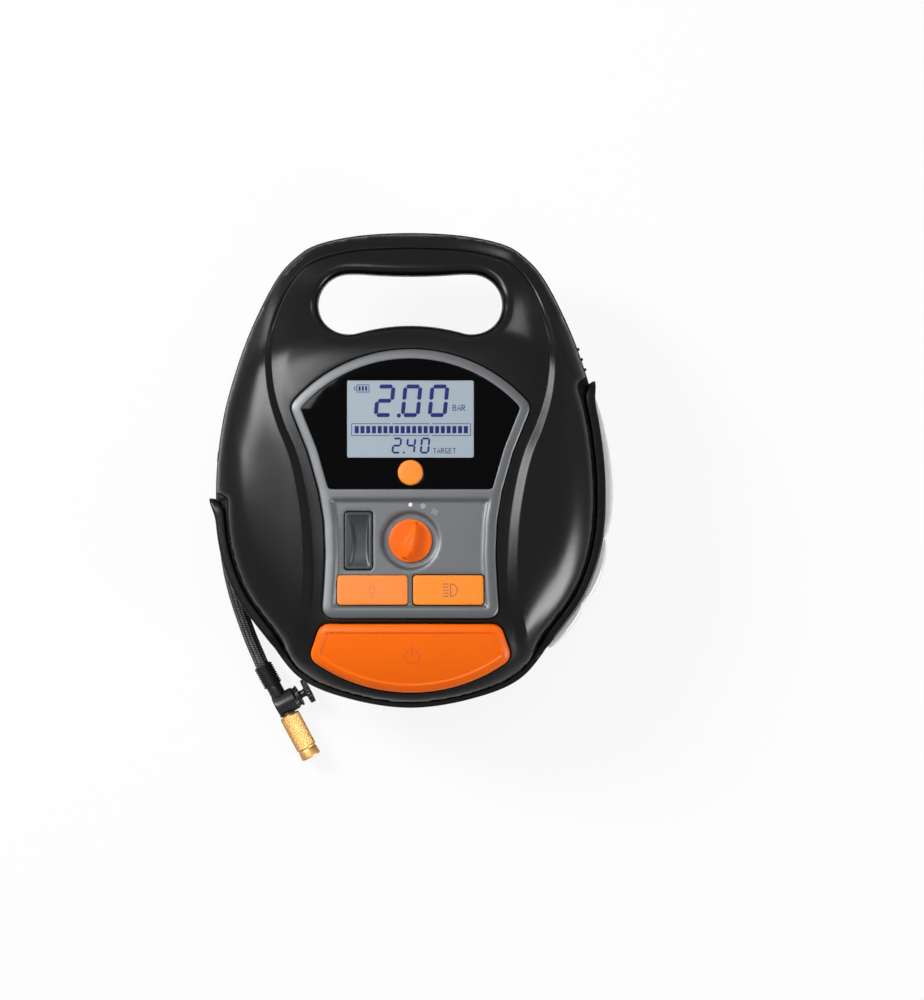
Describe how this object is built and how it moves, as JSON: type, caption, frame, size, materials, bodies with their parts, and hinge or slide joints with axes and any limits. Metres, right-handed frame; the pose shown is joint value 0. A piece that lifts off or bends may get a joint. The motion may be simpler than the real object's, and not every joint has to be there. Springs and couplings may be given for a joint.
{
  "type": "tyre inflator",
  "caption": "Cordless tyre inflator lying on its back: round-bottomed casing with a carry handle, digital gauge panel, mode knob, push keys and a braided air hose with a brass chuck.",
  "frame": {"origin": "on the table, under the middle of the casing's outline (hose end left out)", "axes": "+X to the right of the display, +Y towards the carry handle, +Z out of the display; the casing lies on the feet of its back"},
  "size_m": [0.2416, 0.3204, 0.1075],
  "materials": {
    "casing_black": "fine-textured satin, with a soft wide highlight",
    "trim_black": "smooth",
    "feet_rubber": "matt",
    "steel": "machined",
    "lens_clear": "milky translucent",
    "white_plastic": "white",
    "panel_grey": "satin",
    "window_black": "glossy",
    "lcd_face": "pale blue-grey, satin",
    "lcd_dark": "dark blue",
    "key_orange": "satin",
    "rocker_grey": "satin",
    "board_green": "printed board",
    "cell_wrap": "wrapped battery cell",
    "inner_black": "plain",
    "alloy": "cast",
    "nylon": "natural nylon",
    "hose_braid": "woven black sleeve over rubber",
    "fitting_black": "satin",
    "brass": "machined"
  },
  "bodies": {
    "casing": {"front_shell": "casing_black", "rear_shell": "casing_black", "back_plate": "casing_black", "rubber_feet": "feet_rubber", "housing_screws": "steel", "left_guard": "trim_black", "right_guard": "trim_black", "door_pin": "steel", "charge_socket": "inner_black", "lamp_lens": "lens_clear", "lamp_reflector": "white_plastic", "lamp_board": "white_plastic", "control_panel": "panel_grey", "display_window": "window_black", "lcd_module": "lcd_face", "lcd_segments": "lcd_dark", "rotary_switch": "inner_black", "rocker_pin": "steel", "usb_cover_pin": "steel", "usb_port": "steel", "push_switches": "inner_black", "control_board": "board_green", "main_board": "board_green", "battery_cells": "cell_wrap", "battery_tray": "inner_black", "pump_motor": "steel", "shaft_bearings": "steel", "pump_cylinder": "alloy", "cylinder_head": "alloy", "pump_frame": "inner_black", "air_line": "hose_braid", "pressure_sensor": "inner_black", "blower_motor": "steel", "blower_housing": "inner_black", "outlet_port": "inner_black", "hose_gland": "fitting_black", "hose_stowed": "hose_braid", "hose_free": "hose_braid", "hose_ferrule": "fitting_black", "valve_body": "fitting_black", "chuck_core": "brass"},
    "power_button": {"power_button": "key_orange"},
    "light_button": {"light_button": "key_orange"},
    "mode_button": {"mode_button": "key_orange"},
    "rocker": {"pressure_rocker": "rocker_grey"},
    "knob": {"mode_knob": "key_orange", "knob_shaft": "steel"},
    "usb_flap": {"usb_cover": "key_orange"},
    "door": {"charge_door": "casing_black"},
    "crank": {"crank_gear": "steel"},
    "rotor": {"motor_pinion": "steel", "motor_fan": "inner_black"},
    "piston": {"piston_rod": "alloy", "piston_cup": "nylon"},
    "impeller": {"blower_impeller": "nylon"},
    "cap": {"port_cap": "trim_black"},
    "bleeder": {"bleed_knob": "fitting_black"},
    "sleeve": {"chuck_sleeve": "brass"}
  },
  "joints": [
    {"name": "power_press", "type": "slide", "parent": "casing", "child": "power_button", "axis": [0, 0, -1], "range_m": [0, 0.002], "stiffness_N_per_m": 900},
    {"name": "light_press", "type": "slide", "parent": "casing", "child": "light_button", "axis": [0, 0, -1], "range_m": [0, 0.0012], "stiffness_N_per_m": 900},
    {"name": "mode_press", "type": "slide", "parent": "casing", "child": "mode_button", "axis": [0, 0, -1], "range_m": [0, 0.001], "stiffness_N_per_m": 900},
    {"name": "rocker_tilt", "type": "hinge", "parent": "casing", "child": "rocker", "pos_m": [-0.0304, -0.0414, 0.0968], "axis": [1, 0, 0], "range_deg": [-6, 6], "stiffness_Nm_per_rad": 0.05},
    {"name": "knob_turn", "type": "hinge", "parent": "casing", "child": "knob", "pos_m": [0, -0.0414, 0.1], "axis": [0, 0, 1], "range_deg": [-20, 20]},
    {"name": "usb_flap_swing", "type": "hinge", "parent": "casing", "child": "usb_flap", "pos_m": [-0.02225, -0.0627, 0.0995], "axis": [-1, 0, 0], "range_deg": [0, 100]},
    {"name": "door_swing", "type": "hinge", "parent": "casing", "child": "door", "pos_m": [-0.10117, 0.06134, 0.04125], "axis": [0, 0, -1], "range_deg": [0, 100]},
    {"name": "crank_spin", "type": "hinge", "parent": "casing", "child": "crank", "pos_m": [0.025, -0.066, 0.0416], "axis": [0, 1, 0], "continuous": true},
    {"name": "rotor_spin", "type": "hinge", "parent": "casing", "child": "rotor", "pos_m": [0.052, -0.066, 0.0416], "axis": [0, 1, 0], "continuous": true},
    {"name": "piston_stroke", "type": "slide", "parent": "casing", "child": "piston", "axis": [1, 0, 0], "range_m": [0, 0.014]},
    {"name": "impeller_spin", "type": "hinge", "parent": "casing", "child": "impeller", "pos_m": [0.04405, 0.03498, 0.047], "axis": [0, 0, 1], "continuous": true},
    {"name": "cap_pull", "type": "slide", "parent": "casing", "child": "cap", "axis": [0.9466, 0.3225, 0], "range_m": [0, 0.014]},
    {"name": "bleeder_press", "type": "slide", "parent": "casing", "child": "bleeder", "axis": [-0.8813, -0.4726, 0], "range_m": [0, 0.0025], "stiffness_N_per_m": 600},
    {"name": "sleeve_spin", "type": "hinge", "parent": "casing", "child": "sleeve", "pos_m": [-0.06707, -0.16387, 0.0079], "axis": [0.4726, -0.8813, 0], "continuous": true}
  ],
  "couplings": [
    {"joint": "rotor_spin", "follows": "crank_spin", "ratio": -5}
  ]
}
